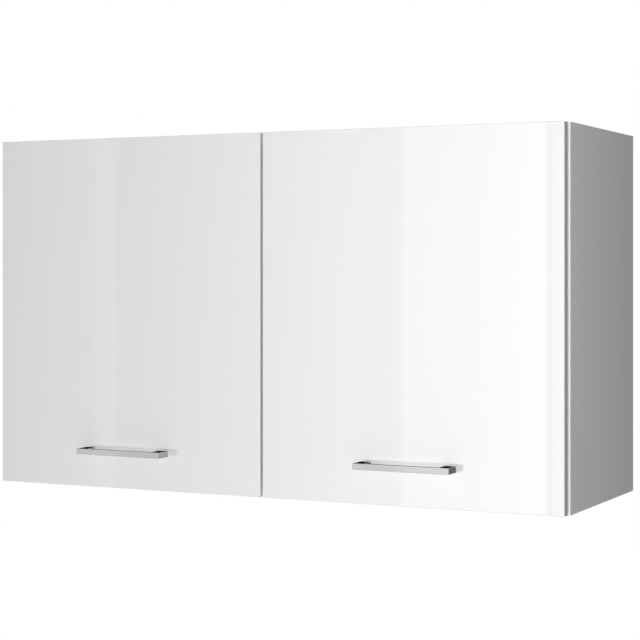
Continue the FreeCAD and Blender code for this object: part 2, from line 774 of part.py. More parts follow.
def handle():
    """A bow handle: a flat bar on two wide legs, drilled from the back for its screws."""
    body = new_body("left_handle")
    plan = new_sketch(body, "handle_plan", "XY_Plane", f"{HANDLE_HEIGHT} - handle_height / 2")
    ends = (f"({DOOR_CENTRE} - handle_length / 2)", f"({DOOR_CENTRE} + handle_length / 2)")
    inside = (f"({ends[0]} + handle_leg_width)", f"({ends[1]} - handle_leg_width)")
    bar_front = f"({DOOR_FRONT} - handle_projection)"
    bar_back = f"({bar_front} + handle_bar_depth)"
    outline(plan, [(ends[0], DOOR_FRONT), (inside[0], DOOR_FRONT), (inside[0], bar_back),
                   (inside[1], bar_back), (inside[1], DOOR_FRONT), (ends[1], DOOR_FRONT),
                   (ends[1], bar_front), (ends[0], bar_front)])
    pad(body, plan, "handle_height")
    door_side = value(f"{DOOR_FRONT} - handle_edge_radius")
    round_edges(body, "handle_edges", "handle_edge_radius",
                lambda edge: edge.CenterOfMass.y < door_side)
    holes = new_sketch(body, "handle_holes", "XZ_Plane", f"-{DOOR_FRONT}")
    for sign in (-1, 1):
        circle(holes, f"{DOOR_CENTRE} + {sign} * (handle_length / 2 - handle_hole_inset)", HANDLE_HEIGHT,
               "handle_screw_radius + fit_play")
    pocket(body, holes, "handle_screw_grip + handle_hole_end_play", True)
    return body


def door_bumpers():
    bumpers = []
    middles = {"top": f"{TOP} - panel_thickness / 2", "bottom": f"{BOTTOM} + panel_thickness / 2"}
    for level, height in middles.items():
        at = f"{DOOR_FREE_EDGE} - bumper_inset"
        bumpers.append(rod(f"{level}_bumper", (0, 1, 0), at, DOOR_BACK, height, "bumper_radius",
                           "bumper_height"))
    return group("left_door_bumpers", bumpers)


def handle_screws():
    screws = []
    for number, sign in enumerate((-1, 1)):
        at = f"{DOOR_CENTRE} + {sign} * (handle_length / 2 - handle_hole_inset)"
        screws.append(screw(f"handle_screw_{number}", "handle_screw", "door_thickness + handle_screw_grip",
                            (0, -1, 0), at, DOOR_BACK, HANDLE_HEIGHT))
    return group("left_handle_screws", screws)


# Hinges

PIN_X = f"({DOOR_OUTER} + hinge_pin_edge_distance)"
PIN_Y = f"({DOOR_BACK} - hinge_pin_depth)"
WEB_INNER = f"({INNER} + rib_height)"
WEB_OUTER = f"({WEB_INNER} + arm_sheet)"
ARM_REAR = f"({DOOR_BACK} + arm_length)"
ARM_SCREW_ROWS = (f"({DOOR_BACK} + arm_front_screw)", f"({DOOR_BACK} + arm_rear_screw)")


def hinge_cup(level, height):
    """A pressed cup with a flange. Two lugs inside it carry the pin on each side of the arm's eye."""
    name = f"{level}_cup"
    low = f"({DOOR_BACK} - cup_depth)"
    rim = f"({DOOR_BACK} + cup_flange_thickness)"
    blank = rod(name + "_blank", (0, 1, 0), CUP_X, low, height, "cup_radius", f"{rim} - {low}")
    bar = box(name + "_flange", f"{CUP_SCREW_X} - cup_flange_width / 2", DOOR_BACK,
              f"{height} - cup_flange_length / 2", "cup_flange_width", "cup_flange_thickness",
              "cup_flange_length")
    doc.recompute()
    corners = [number for number, edge in enumerate(bar.Shape.Edges, 1) if along(edge, 1)]
    rounded = doc.addObject("Part::Fillet", name + "_rounded_flange")
    rounded.Base = bar
    corner = value("cup_flange_corner")
    rounded.Edges = [(number, corner, corner) for number in corners]
    floor = f"({low} + cup_floor)"
    hollow = rod(name + "_hollow", (0, 1, 0), CUP_X, floor, height, "cup_radius - cup_wall",
                 f"{rim} - {floor} + overrun")
    lugs = []
    lug_top = f"{PIN_Y} + lug_above_pin"
    gap = "(neck_width / 2 + eye_side_play)"
    for letter, start in (("a", f"{height} + {gap}"), ("b", f"{height} - {gap} - cup_radius")):
        lugs.append(box(f"{name}_lug_{letter}", f"{PIN_X} - lug_half_width", f"{low} - overrun", start,
                        "2 * lug_half_width", f"{lug_top} - {low} + overrun", "cup_radius"))
    cavity = cut(name + "_cavity", hollow, fuse(name + "_lugs", lugs))
    bore = rod(name + "_pin_bore", (0, 0, 1), PIN_X, PIN_Y, f"{height} - hinge_pin_length / 2",
               "hinge_pin_radius + fit_play", "hinge_pin_length")
    screw_holes = []
    for number, sign in enumerate((-1, 1)):
        at = f"{height} + {sign} * cup_screw_spacing / 2"
        screw_holes.append(rod(f"{name}_screw_hole_{number}", (0, 1, 0), CUP_SCREW_X,
                               f"{DOOR_BACK} - overrun", at, "cup_screw_radius + fit_play",
                               "cup_flange_thickness + 2 * overrun"))
    solid = fuse(name + "_solid", [blank, rounded])
    return cut(name, solid, fuse(name + "_tools", [cavity, bore, *screw_holes]))


def hinge_arm(level, height):
    """A cranked arm: a neck with the eye for the pin, and a channel that straddles the plate's rib."""
    body = new_body(f"{level}_left_hinge_arm")
    name = f"{level}_arm"
    neck_low = f"({PIN_Y} - neck_below_pin)"
    neck = new_sketch(body, name + "_neck", "XY_Plane", f"{height} - neck_width / 2")
    outline(neck, [(PIN_X, neck_low), (WEB_OUTER, neck_low), (WEB_OUTER, ARM_REAR), (WEB_INNER, ARM_REAR),
                   (WEB_INNER, f"{neck_low} + arm_sheet"), (PIN_X, f"{neck_low} + arm_sheet")])
    pad(body, neck, "neck_width")
    bend_x = value(f"({WEB_OUTER} + {WEB_INNER}) / 2")
    bend_y = value(f"{neck_low} + arm_sheet / 2")
    near = value("arm_sheet")

    def at_bend(edge):
        centre = edge.CenterOfMass
        beside = abs(centre.x - bend_x) < near and abs(centre.y - bend_y) < near
        return along(edge, 2) and beside and centre.x > bend_x

    round_edges(body, name + "_bend", "arm_bend_radius", at_bend)
    eye = new_sketch(body, name + "_eye", "XY_Plane", f"{height} - neck_width / 2")
    circle(eye, PIN_X, PIN_Y, "eye_radius")
    pad(body, eye, "neck_width")
    channel = new_sketch(body, name + "_channel", "XY_Plane", f"{height} - arm_width / 2")
    flange_start = f"{DOOR_BACK} + arm_flange_start"
    rectangle(channel, f"{INNER} + plate_base_thickness", flange_start, WEB_OUTER, ARM_REAR)
    pad(body, channel, "arm_width")
    web_middle = value(f"({WEB_OUTER} + {WEB_INNER}) / 2")
    round_edges(body, name + "_shoulders", "arm_edge_radius",
                lambda edge: along(edge, 1) and edge.CenterOfMass.x > web_middle
                and abs(edge.CenterOfMass.z - value(height)) > value("neck_width / 2"))
    hollow = new_sketch(body, name + "_hollow", "XY_Plane", f"{height} - arm_width / 2 + arm_flange_sheet")
    rectangle(hollow, f"{INNER} + plate_base_thickness - overrun", f"{flange_start} - overrun", WEB_INNER,
              f"{ARM_REAR} + overrun")
    pocket(body, hollow, "arm_width - 2 * arm_flange_sheet", True)
    bore = new_sketch(body, name + "_bore", "XY_Plane", f"{height} - neck_width / 2")
    circle(bore, PIN_X, PIN_Y, "hinge_pin_radius + fit_play")
    pocket(body, bore, "neck_width", True)
    holes = new_sketch(body, name + "_screw_holes", "YZ_Plane", WEB_OUTER)
    for row in ARM_SCREW_ROWS:
        circle(holes, row, height, "arm_screw_radius + hole_play")
    pocket(body, holes, "arm_sheet")
    return body


def hinge_plate(level, height):
    """A mounting plate: two wings screwed to the side, and a rib that carries the arm."""
    body = new_body(f"{level}_left_hinge_plate")
    name = f"{level}_plate"
    wings = new_sketch(body, name + "_wings", "YZ_Plane", INNER)
    rectangle(wings, f"{PLATE_LINE} - plate_wing_width / 2", f"{height} - plate_wing_length / 2",
              f"{PLATE_LINE} + plate_wing_width / 2", f"{height} + plate_wing_length / 2")
    pad(body, wings, "plate_base_thickness")
    round_edges(body, name + "_corners", "wing_corner_radius", lambda edge: along(edge, 0))
    rib = new_sketch(body, name + "_rib", "YZ_Plane", INNER)
    half = "(arm_width / 2 - arm_flange_sheet - rib_side_play)"
    rectangle(rib, f"{PLATE_LINE} - rib_length / 2", f"{height} - {half}", f"{PLATE_LINE} + rib_length / 2",
              f"{height} + {half}")
    pad(body, rib, "rib_height")
    rib_middle = value(f"({INNER} + plate_base_thickness + {WEB_INNER}) / 2")
    round_edges(body, name + "_rib_ends", "rib_edge_radius",
                lambda edge: along(edge, 2) and edge.CenterOfMass.x > rib_middle)
    screws = new_sketch(body, name + "_screw_holes", "YZ_Plane", f"{INNER} + plate_base_thickness")
    for sign in PLATE_SCREW_SIGNS:
        circle(screws, PLATE_LINE, f"{height} + {sign} * plate_screw_spacing / 2",
               "plate_screw_radius + fit_play")
    pocket(body, screws, "plate_base_thickness")
    threads = new_sketch(body, name + "_arm_screw_holes", "YZ_Plane", WEB_INNER)
    for row in ARM_SCREW_ROWS:
        circle(threads, row, height, "arm_screw_radius + fit_play")
    pocket(body, threads, "arm_screw_length - arm_sheet + hole_play")
    return body


def hinges():
    pins = []
    cup_screws = []
    plate_screws = []
    arm_screws = []
    for level, height in HINGE_LEVELS.items():
        plate = hinge_plate(level, height)
        node(mirrored(plate, f"{level}_plate_mirrored"), f"{level}_right_hinge_plate")
        arm = hinge_arm(level, height)
        node(mirrored(arm, f"{level}_arm_mirrored"), f"{level}_right_hinge_arm")
        cup = node(hinge_cup(level, height), f"{level}_left_hinge_cup")
        node(mirrored(cup, f"{level}_cup_mirrored"), f"{level}_right_hinge_cup")
        pins.append(rod(f"{level}_hinge_pin", (0, 0, 1), PIN_X, PIN_Y, f"{height} - hinge_pin_length / 2",
                        "hinge_pin_radius", "hinge_pin_length"))
        for number, sign in enumerate((-1, 1)):
            name = f"{level}_cup_screw_{number}"
            at = f"{height} + {sign} * cup_screw_spacing / 2"
            rim = f"{DOOR_BACK} + cup_flange_thickness"
            cup_screws.append(screw(name, "cup_screw", "cup_screw_length", (0, -1, 0), CUP_SCREW_X, rim, at))
        for number, sign in enumerate(PLATE_SCREW_SIGNS):
            name = f"{level}_plate_screw_{number}"
            at = f"{height} + {sign} * plate_screw_spacing / 2"
            seat = f"{INNER} + plate_base_thickness"
            one = screw(name, "plate_screw", "plate_screw_length", (-1, 0, 0), seat, PLATE_LINE, at)
            plate_screws += [one, mirrored(one, name + "_right")]
        for number, row in enumerate(ARM_SCREW_ROWS):
            name = f"{level}_arm_screw_{number}"
            one = screw(name, "arm_screw", "arm_screw_length", (-1, 0, 0), WEB_OUTER, row, height)
            arm_screws += [one, mirrored(one, name + "_right")]
    group("plate_screws", plate_screws)
    group("arm_screws", arm_screws)
    for label, pieces in (("hinge_pins", pins), ("cup_screws", cup_screws)):
        left = group("left_" + label, pieces)
        node(mirrored(left, f"mirrored_{label}"), "right_" + label)


def check_document():
    """Stop if any object failed, or a sub-part has no valid solid."""
    for thing in doc.Objects:
        if "Invalid" in thing.State or "Error" in thing.State:
            raise RuntimeError(f"{thing.Label} failed: {thing.State}")
    for thing in nodes:
        shape = thing.Shape
        if shape.isNull() or not shape.isValid() or not shape.Solids:
            raise RuntimeError(f"{thing.Label} has no valid solid")


def export_nodes():
    os.makedirs("parts", exist_ok=True)
    for thing in nodes:
        thing.Shape.exportStep(f"parts/{thing.Label}.step")


fill_sheet()
side = side_panel()
node(mirrored(side, "side_panel_mirrored"), "right_side_panel")
deck("top_panel", CEILING, CEILING, True)
deck("bottom_panel", BOTTOM, FLOOR, False)
edge_bands()
back_panel()
shelf()
shelf_pins()
corner_fittings()
hangers()
door = door_panel()
node(mirrored(door, "door_panel_mirrored"), "right_door_panel")
left_handle = handle()
node(mirrored(left_handle, "handle_mirrored"), "right_handle")
node(mirrored(handle_screws(), "handle_screws_mirrored"), "right_handle_screws")
node(mirrored(door_bumpers(), "bumpers_mirrored"), "right_door_bumpers")
hinges()
doc.recompute()
check_document()
export_nodes()
print(len(nodes), "sub-parts written")
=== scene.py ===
"""Looks of a wide white wall cabinet: gloss doors on concealed hinges, chrome handles and white boards."""
import json
import math

import bpy
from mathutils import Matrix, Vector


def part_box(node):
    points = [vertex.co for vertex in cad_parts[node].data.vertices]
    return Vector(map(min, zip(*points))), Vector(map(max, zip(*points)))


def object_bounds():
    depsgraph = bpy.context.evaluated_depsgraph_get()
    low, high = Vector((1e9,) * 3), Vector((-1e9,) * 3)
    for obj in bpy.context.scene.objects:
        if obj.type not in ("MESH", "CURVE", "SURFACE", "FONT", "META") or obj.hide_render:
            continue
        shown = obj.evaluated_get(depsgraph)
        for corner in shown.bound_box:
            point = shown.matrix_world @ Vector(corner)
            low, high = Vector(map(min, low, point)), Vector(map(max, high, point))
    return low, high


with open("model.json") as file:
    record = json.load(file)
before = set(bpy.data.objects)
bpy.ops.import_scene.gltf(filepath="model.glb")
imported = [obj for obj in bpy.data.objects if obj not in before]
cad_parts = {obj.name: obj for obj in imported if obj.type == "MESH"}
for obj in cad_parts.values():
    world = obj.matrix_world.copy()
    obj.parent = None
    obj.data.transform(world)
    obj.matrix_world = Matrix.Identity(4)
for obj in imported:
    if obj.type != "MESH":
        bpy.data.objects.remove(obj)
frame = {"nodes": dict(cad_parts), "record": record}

MM = 0.001
CAD_LOW, CAD_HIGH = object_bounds()
UNDERSIDE = CAD_LOW.z
DOORS = ("left_door_panel", "right_door_panel")
HANDLES = ("left_handle", "right_handle")
BOARDS = ("left_side_panel", "right_side_panel", "top_panel", "bottom_panel", "shelf")


# Colours, in linear light. A pair gives the two tones that a finish drifts between.

def grey(level):
    return (level, level, level, 1.0)


BOARD_WHITES = ((0.90, 0.90, 0.89, 1), (0.8865, 0.8865, 0.87665, 1))
EDGE_BAND_WHITES = ((0.95, 0.95, 0.94, 1), (0.935, 0.935, 0.925, 1))
BACK_PAINT_WHITES = ((0.88, 0.88, 0.87, 1), (0.86, 0.86, 0.85, 1))
LACQUER_WHITES = (grey(0.90), grey(0.89))
CHROME_TONES = ((0.62, 0.62, 0.625, 1), (0.59, 0.59, 0.595, 1))
# Painted dark reflection: the black that the chrome handles' top faces get instead of chrome.
CHROME_TOP_PAINTED_DARK = grey(0.012)
# Painted reflection: the darker tones of the handles' end faces, much darker on the right handle.
LEFT_END_PAINTED_REFLECTION = grey(0.43)
RIGHT_END_PAINTED_REFLECTION = grey(0.05)
NICKEL_TONES = ((0.68, 0.67, 0.65, 1), (0.58, 0.57, 0.55, 1))
ZINC_TONES = ((0.50, 0.50, 0.52, 1), (0.57, 0.57, 0.57, 1))
PLASTIC_WHITES = ((0.90, 0.90, 0.89, 1), (0.87, 0.87, 0.855, 1))
RUBBER_TONES = ((0.86, 0.86, 0.85, 1), (0.80, 0.80, 0.79, 1))
FLOOR_TONES = (grey(0.90), grey(0.86))
CHIP_TANS = ((0.0, (0.30, 0.19, 0.10, 1)), (0.45, (0.47, 0.33, 0.19, 1)),
             (0.8, (0.60, 0.46, 0.29, 1)), (1.0, (0.70, 0.58, 0.40, 1)))
CHIP_GAP_BROWN = (0.16, 0.10, 0.06, 1)
FIBRE_BROWNS = ((0.3, (0.26, 0.17, 0.10, 1)), (0.52, (0.40, 0.28, 0.18, 1)), (0.72, (0.52, 0.39, 0.26, 1)))
BEECH_BROWNS = ((0.3, (0.55, 0.38, 0.23, 1)), (0.5, (0.72, 0.55, 0.36, 1)), (0.8, (0.80, 0.64, 0.44, 1)))


# A face points mostly, or squarely, along an axis where its direction has more than this share of it.
MOSTLY = 0.5
SQUARELY = 0.9


# Node helpers

def add(tree, kind, plugs=(), **settings):
    """One node with its settings. plugs pairs a socket's name or number with a value or another output."""
    node = tree.nodes.new(kind)
    for key, setting in settings.items():
        setattr(node, key, setting)
    for key, value in plugs:
        if isinstance(value, bpy.types.NodeSocket):
            tree.links.new(value, node.inputs[key])
        else:
            node.inputs[key].default_value = value
    return node


def calc(tree, operation, *values):
    """The result of a Math node on up to three values or outputs."""
    return add(tree, "ShaderNodeMath", list(enumerate(values)), operation=operation).outputs[0]


def parts_of(tree, vector):
    """The x, y and z of a vector."""
    return add(tree, "ShaderNodeSeparateXYZ", [("Vector", vector)]).outputs


def facing_of(tree):
    """The x, y and z of the direction that a surface faces, on the piece's own axes."""
    return parts_of(tree, tree.nodes.new("ShaderNodeTexCoord").outputs["Normal"])


def blend_colors(tree, share, first, second):
    """first where share is 0, second where it is 1."""
    return add(tree, "ShaderNodeMix", [(0, share), (6, first), (7, second)], data_type="RGBA").outputs[2]


def blend_values(tree, share, first, second):
    """first where share is 0, second where it is 1, for plain numbers."""
    return add(tree, "ShaderNodeMix", [(0, share), (2, first), (3, second)]).outputs[0]


def ramp(tree, share, stops):
    """A colour ramp through (place, colour) stops."""
    node = add(tree, "ShaderNodeValToRGB", [(0, share)])
    marks = node.color_ramp.elements
    while len(marks) < len(stops):
        marks.new(0.5)
    for mark, (place, color) in zip(marks, stops):
        mark.position = place
        mark.color = color
    return node.outputs["Color"]


def noise(tree, place, scale, detail, **settings):
    """The outputs of a noise texture, with its scale in bumps per metre."""
    plugs = [("Vector", place), ("Scale", scale), ("Detail", detail)]
    return add(tree, "ShaderNodeTexNoise", plugs + list(settings.items())).outputs


def start_group(name, inputs, outputs):
    """An empty node group with its named sockets. inputs gives each socket's kind and its default."""
    tree = bpy.data.node_groups.new(name, "ShaderNodeTree")
    for socket, (kind, default) in inputs.items():
        made = tree.interface.new_socket(socket, in_out="INPUT", socket_type="NodeSocket" + kind)
        if default is not None:
            made.default_value = default
    for socket, kind in outputs.items():
        tree.interface.new_socket(socket, in_out="OUTPUT", socket_type="NodeSocket" + kind)
    return tree, tree.nodes.new("NodeGroupInput").outputs, tree.nodes.new("NodeGroupOutput").inputs


def use_group(tree, group, **plugs):
    """One use of a group, whose socket names have underscores for spaces here."""
    named = [(key.replace("_", " "), value) for key, value in plugs.items()]
    return add(tree, "ShaderNodeGroup", named, node_tree=group).outputs


# Effects that several materials share

def make_inside_box():
    """1 where a place lies inside a box that is drawn in by a margin on every side, and 0 elsewhere."""
    tree, given, out = start_group("inside_box", {
        "Place": ("Vector", None), "Low": ("Vector", None), "High": ("Vector", None),
        "Margin": ("Float", 0.25 * MM)}, {"Mask": "Float"})
    place, low, high = (parts_of(tree, given[key]) for key in ("Place", "Low", "High"))
    mask = 1.0
    for axis in range(3):
        above = calc(tree, "GREATER_THAN", place[axis], calc(tree, "ADD", low[axis], given["Margin"]))
        below = calc(tree, "LESS_THAN", place[axis], calc(tree, "SUBTRACT", high[axis], given["Margin"]))
        mask = calc(tree, "MULTIPLY", mask, calc(tree, "MULTIPLY", above, below))
    tree.links.new(mask, out["Mask"])
    return tree


def make_chipboard():
    """Pressed wood chips: cells of several tans, with darker and lower gaps between them."""
    bend_scale = 420.0
    bend_reach = 1.6 * MM
    gap_width = 0.06
    gap_darkness = 0.55
    gap_drop = -0.7
    tree, given, out = start_group("chipboard", {
        "Place": ("Vector", None), "Chip Size": ("Float", 2.6 * MM)}, {"Color": "Color", "Height": "Float"})
    scale = calc(tree, "DIVIDE", 1.0, given["Chip Size"])
    bent = noise(tree, given["Place"], bend_scale, detail=2.0)
    shift = add(tree, "ShaderNodeVectorMath", [(0, bent["Color"]), ("Scale", bend_reach)], operation="SCALE")
    moved = add(tree, "ShaderNodeVectorMath", [(0, given["Place"]), (1, shift.outputs[0])], operation="ADD")
    plugs = [("Vector", moved.outputs[0]), ("Scale", scale)]
    cells = add(tree, "ShaderNodeTexVoronoi", plugs)
    gaps = add(tree, "ShaderNodeTexVoronoi", plugs, feature="DISTANCE_TO_EDGE")
    tone = parts_of(tree, cells.outputs["Color"])[0]
    seam = calc(tree, "LESS_THAN", gaps.outputs["Distance"], gap_width)
    darkened = calc(tree, "MULTIPLY", seam, gap_darkness)
    tree.links.new(blend_colors(tree, darkened, ramp(tree, tone, CHIP_TANS), CHIP_GAP_BROWN), out["Color"])
    tree.links.new(calc(tree, "MULTIPLY_ADD", seam, gap_drop, tone), out["Height"])
    return tree


def make_fibreboard():
    """Brown fibreboard: fine felted fibres over a slow change of tone."""
    fibre_share = 0.85
    cloud_share = 0.15
    cloud_scale = 14.0
    tree, given, out = start_group("fibreboard", {
        "Place": ("Vector", None), "Fibre Size": ("Float", 0.9 * MM)}, {"Color": "Color", "Height": "Float"})
    scale = calc(tree, "DIVIDE", 1.0, given["Fibre Size"])
    fibres = noise(tree, given["Place"], scale, detail=4.0, Distortion=0.8)["Fac"]
    clouds = noise(tree, given["Place"], cloud_scale, detail=3.0)["Fac"]
    tone = calc(tree, "MULTIPLY_ADD", fibres, fibre_share, calc(tree, "MULTIPLY", clouds, cloud_share))
    tree.links.new(ramp(tree, tone, FIBRE_BROWNS), out["Color"])
    tree.links.new(fibres, out["Height"])
    return tree


def make_fine_skin():
    """The fine closed texture of a coated face: small rounded bumps and a slow drift in how matt it is."""
    drift_scale = 9.0
    tree, given, out = start_group("fine_skin", {
        "Place": ("Vector", None), "Bump Size": ("Float", 0.8 * MM), "Roughness": ("Float", 0.4),
        "Drift": ("Float", 0.05)}, {"Height": "Float", "Roughness": "Float", "Tone": "Float"})
    scale = calc(tree, "DIVIDE", 1.0, given["Bump Size"])
    bumps = noise(tree, given["Place"], scale, detail=2.0)["Fac"]
    drift = noise(tree, given["Place"], drift_scale, detail=3.0)["Fac"]
    centred = calc(tree, "SUBTRACT", drift, 0.5)
    tree.links.new(bumps, out["Height"])
    tree.links.new(calc(tree, "MULTIPLY_ADD", centred, given["Drift"], given["Roughness"]), out["Roughness"])
    tree.links.new(drift, out["Tone"])
    return tree


def make_drawn_lines():
    """Fine drawing lines of rolled or polished metal: noise that is pulled out along one direction."""
    line_share = 0.6
    cloud_share = 0.4
    cloud_scale = 60.0
    tree, given, out = start_group("drawn_lines", {
        "Place": ("Vector", None), "Stretch": ("Vector", (1.0, 1.0, 1.0)), "Roughness": ("Float", 0.2),
        "Drift": ("Float", 0.1)}, {"Height": "Float", "Roughness": "Float", "Tone": "Float"})
    pulled = add(tree, "ShaderNodeVectorMath", [(0, given["Place"]), (1, given["Stretch"])],
                 operation="MULTIPLY")
    lines = noise(tree, pulled.outputs[0], scale=1.0, detail=4.0)["Fac"]
    clouds = noise(tree, given["Place"], cloud_scale, detail=2.0)["Fac"]
    mixed = calc(tree, "MULTIPLY_ADD", lines, line_share, calc(tree, "MULTIPLY", clouds, cloud_share))
    centred = calc(tree, "SUBTRACT", mixed, 0.5)
    tree.links.new(lines, out["Height"])
    tree.links.new(calc(tree, "MULTIPLY_ADD", centred, given["Drift"], given["Roughness"]), out["Roughness"])
    tree.links.new(mixed, out["Tone"])
    return tree


INSIDE_BOX = make_inside_box()
CHIPBOARD = make_chipboard()
FIBREBOARD = make_fibreboard()
FINE_SKIN = make_fine_skin()
DRAWN_LINES = make_drawn_lines()


# Materials

def start_material(name, **constants):
    """A material with its shader, whose constant values go straight on the shader's sockets."""
    material = bpy.data.materials.new(name)
    material.use_nodes = True
    tree = material.node_tree
    shader = next(node for node in tree.nodes if node.type == "BSDF_PRINCIPLED")
    for key, value in constants.items():
        shader.inputs[key.replace("_", " ")].default_value = value
    place = tree.nodes.new("ShaderNodeTexCoord").outputs["Object"]
    return material, tree, shader.inputs, place


def bump(tree, sockets, height, depth):
    """Raises the surface by height times depth, in metres."""
    node = add(tree, "ShaderNodeBump", [("Height", height), ("Distance", depth), ("Strength", 1.0)])
    tree.links.new(node.outputs["Normal"], sockets["Normal"])


def connect(tree, sockets, color, texture, depth):
    """Puts a colour on the shader, with the roughness and the relief of a texture's group."""
    tree.links.new(color, sockets["Base Color"])
    tree.links.new(texture["Roughness"], sockets["Roughness"])
    bump(tree, sockets, texture["Height"], depth)


def core_of(tree, place, node):
    """1 inside a node's outer skin, which is where its holes and grooves lie, and 0 on its outer faces."""
    low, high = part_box(node)
    return use_group(tree, INSIDE_BOX, Place=place, Low=low, High=high)["Mask"]


def faces_wall(tree):
    """1 on the faces that point back to the wall, and 0 elsewhere."""
    return calc(tree, "GREATER_THAN", facing_of(tree)[1], MOSTLY)


def board_finish(node):
    """White melamine board. Its drilled holes, grooves and rear edge show the chipboard inside."""
    rear_depth = 0.3 * MM
    chip_height = 12.0
    raw_roughness = 0.85
    material, tree, sockets, place = start_material("white_board_" + node, Specular_IOR_Level=0.5)
    near_rear = calc(tree, "GREATER_THAN", parts_of(tree, place)[1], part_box(node)[1].y - rear_depth)
    rear = calc(tree, "MULTIPLY", faces_wall(tree), near_rear)
    raw = calc(tree, "MAXIMUM", core_of(tree, place, node), rear)
    skin = use_group(tree, FINE_SKIN, Place=place, Bump_Size=0.7 * MM, Roughness=0.42, Drift=0.08)
    chips = use_group(tree, CHIPBOARD, Place=place)
    face = blend_colors(tree, skin["Tone"], *BOARD_WHITES)
    tree.links.new(blend_colors(tree, raw, face, chips["Color"]), sockets["Base Color"])
    tree.links.new(blend_values(tree, raw, skin["Roughness"], raw_roughness), sockets["Roughness"])
    rough = calc(tree, "MULTIPLY", chips["Height"], chip_height)
    bump(tree, sockets, blend_values(tree, raw, skin["Height"], rough), depth=0.02 * MM)
    return material


def edge_band_finish():
    """White plastic edge band: slightly smoother and brighter than the board that it covers."""
    material, tree, sockets, place = start_material("white_edge", Specular_IOR_Level=0.5)
    skin = use_group(tree, FINE_SKIN, Place=place, Bump_Size=0.5 * MM, Roughness=0.34, Drift=0.06)
    connect(tree, sockets, blend_colors(tree, skin["Tone"], *EDGE_BAND_WHITES), skin, depth=0.01 * MM)
    return material


def back_finish():
    """Back panel: painted white towards the inside, bare brown fibreboard on its other faces."""
    fibre_height = 3.0
    bare_roughness = 0.7
    material, tree, sockets, place = start_material("white_back", Specular_IOR_Level=0.4)
    bare = calc(tree, "GREATER_THAN", facing_of(tree)[1], -MOSTLY)
    skin = use_group(tree, FINE_SKIN, Place=place, Bump_Size=1.1 * MM, Roughness=0.45, Drift=0.1)
    fibres = use_group(tree, FIBREBOARD, Place=place)
    painted = blend_colors(tree, skin["Tone"], *BACK_PAINT_WHITES)
    tree.links.new(blend_colors(tree, bare, painted, fibres["Color"]), sockets["Base Color"])
    tree.links.new(blend_values(tree, bare, skin["Roughness"], bare_roughness), sockets["Roughness"])
    rough = calc(tree, "MULTIPLY", fibres["Height"], fibre_height)
    bump(tree, sockets, blend_values(tree, bare, skin["Height"], rough), depth=0.03 * MM)
    return material


def gloss_finish(node):
    """High-gloss white lacquer on the front and edges, satin white behind, brown fibreboard in the bores."""
    peel_size = 7 * MM
    swell_size = 90 * MM
    swell_height = 8.0
    satin_height = 3.0
    lacquer_roughness = 0.06
    material, tree, sockets, place = start_material(
        "gloss_front_" + node, Specular_IOR_Level=0.5, Coat_Roughness=0.02, Coat_IOR=3.0)
    core = core_of(tree, place, node)
    matt = calc(tree, "MAXIMUM", core, faces_wall(tree))
    skin = use_group(tree, FINE_SKIN, Place=place, Bump_Size=0.7 * MM, Roughness=0.4, Drift=0.08)
    fibres = use_group(tree, FIBREBOARD, Place=place, Fibre_Size=0.6 * MM)
    peel = noise(tree, place, 1 / peel_size, detail=1.0)["Fac"]
    swell = noise(tree, place, 1 / swell_size, detail=1.0)["Fac"]
    waves = calc(tree, "MULTIPLY_ADD", swell, swell_height, peel)
    face = blend_colors(tree, skin["Tone"], *LACQUER_WHITES)
    tree.links.new(blend_colors(tree, core, face, fibres["Color"]), sockets["Base Color"])
    tree.links.new(blend_values(tree, matt, lacquer_roughness, skin["Roughness"]), sockets["Roughness"])
    tree.links.new(calc(tree, "SUBTRACT", 1.0, matt), sockets["Coat Weight"])
    satin = calc(tree, "MULTIPLY", skin["Height"], satin_height)
    bump(tree, sockets, blend_values(tree, matt, waves, satin), depth=0.006 * MM)
    return material


def chrome_finish():
    """Polished chrome, with painted reflections: the tops of the handles are painted black as a dark
    reflection, and their ends are painted darker, more so on the right.
    """
    material, tree, sockets, place = start_material("chrome", Specular_IOR_Level=0.0)
    lines = use_group(tree, DRAWN_LINES, Place=place, Stretch=(60.0, 900.0, 900.0),
                      Roughness=0.06, Drift=0.06)
    facing = facing_of(tree)
    # Painted dark reflection: faces that point squarely up are black and not metallic.
    painted_dark_top = calc(tree, "GREATER_THAN", facing[2], SQUARELY)
    # Painted reflection: the end faces of the handles, which face along x, are darker, much darker on the
    # right.
    painted_dark_end = calc(tree, "GREATER_THAN", calc(tree, "ABSOLUTE", facing[0]), SQUARELY)
    right = calc(tree, "GREATER_THAN", parts_of(tree, place)[0], 0.0)
    bright = blend_colors(tree, lines["Tone"], *CHROME_TONES)
    painted_end_tones = blend_colors(tree, right, LEFT_END_PAINTED_REFLECTION, RIGHT_END_PAINTED_REFLECTION)
    sides = blend_colors(tree, painted_dark_end, bright, painted_end_tones)
    tree.links.new(calc(tree, "SUBTRACT", 1.0, painted_dark_top), sockets["Metallic"])
    connect(tree, sockets, blend_colors(tree, painted_dark_top, sides, CHROME_TOP_PAINTED_DARK), lines, depth=0.001 * MM)
    return material


def nickel_finish():
    """Nickel-plated pressed steel of the hinges and shelf pins."""
    material, tree, sockets, place = start_material("nickel_steel", Metallic=1.0)
    lines = use_group(tree, DRAWN_LINES, Place=place, Stretch=(900.0, 90.0, 900.0),
                      Roughness=0.24, Drift=0.16)
    connect(tree, sockets, blend_colors(tree, lines["Tone"], *NICKEL_TONES), lines, depth=0.008 * MM)
    return material


def zinc_finish():
    """Zinc-plated steel and cast zinc: greyer, mottled and more matt than nickel."""
    spangle_size = 2.4 * MM
    material, tree, sockets, place = start_material("zinc_fitting", Metallic=1.0)
    skin = use_group(tree, FINE_SKIN, Place=place, Bump_Size=1.4 * MM, Roughness=0.36, Drift=0.14)
    spangle = add(tree, "ShaderNodeTexVoronoi", [("Vector", place), ("Scale", 1 / spangle_size)])
    tone = parts_of(tree, spangle.outputs["Color"])[0]
    connect(tree, sockets, blend_colors(tree, tone, *ZINC_TONES), skin, depth=0.02 * MM)
    return material


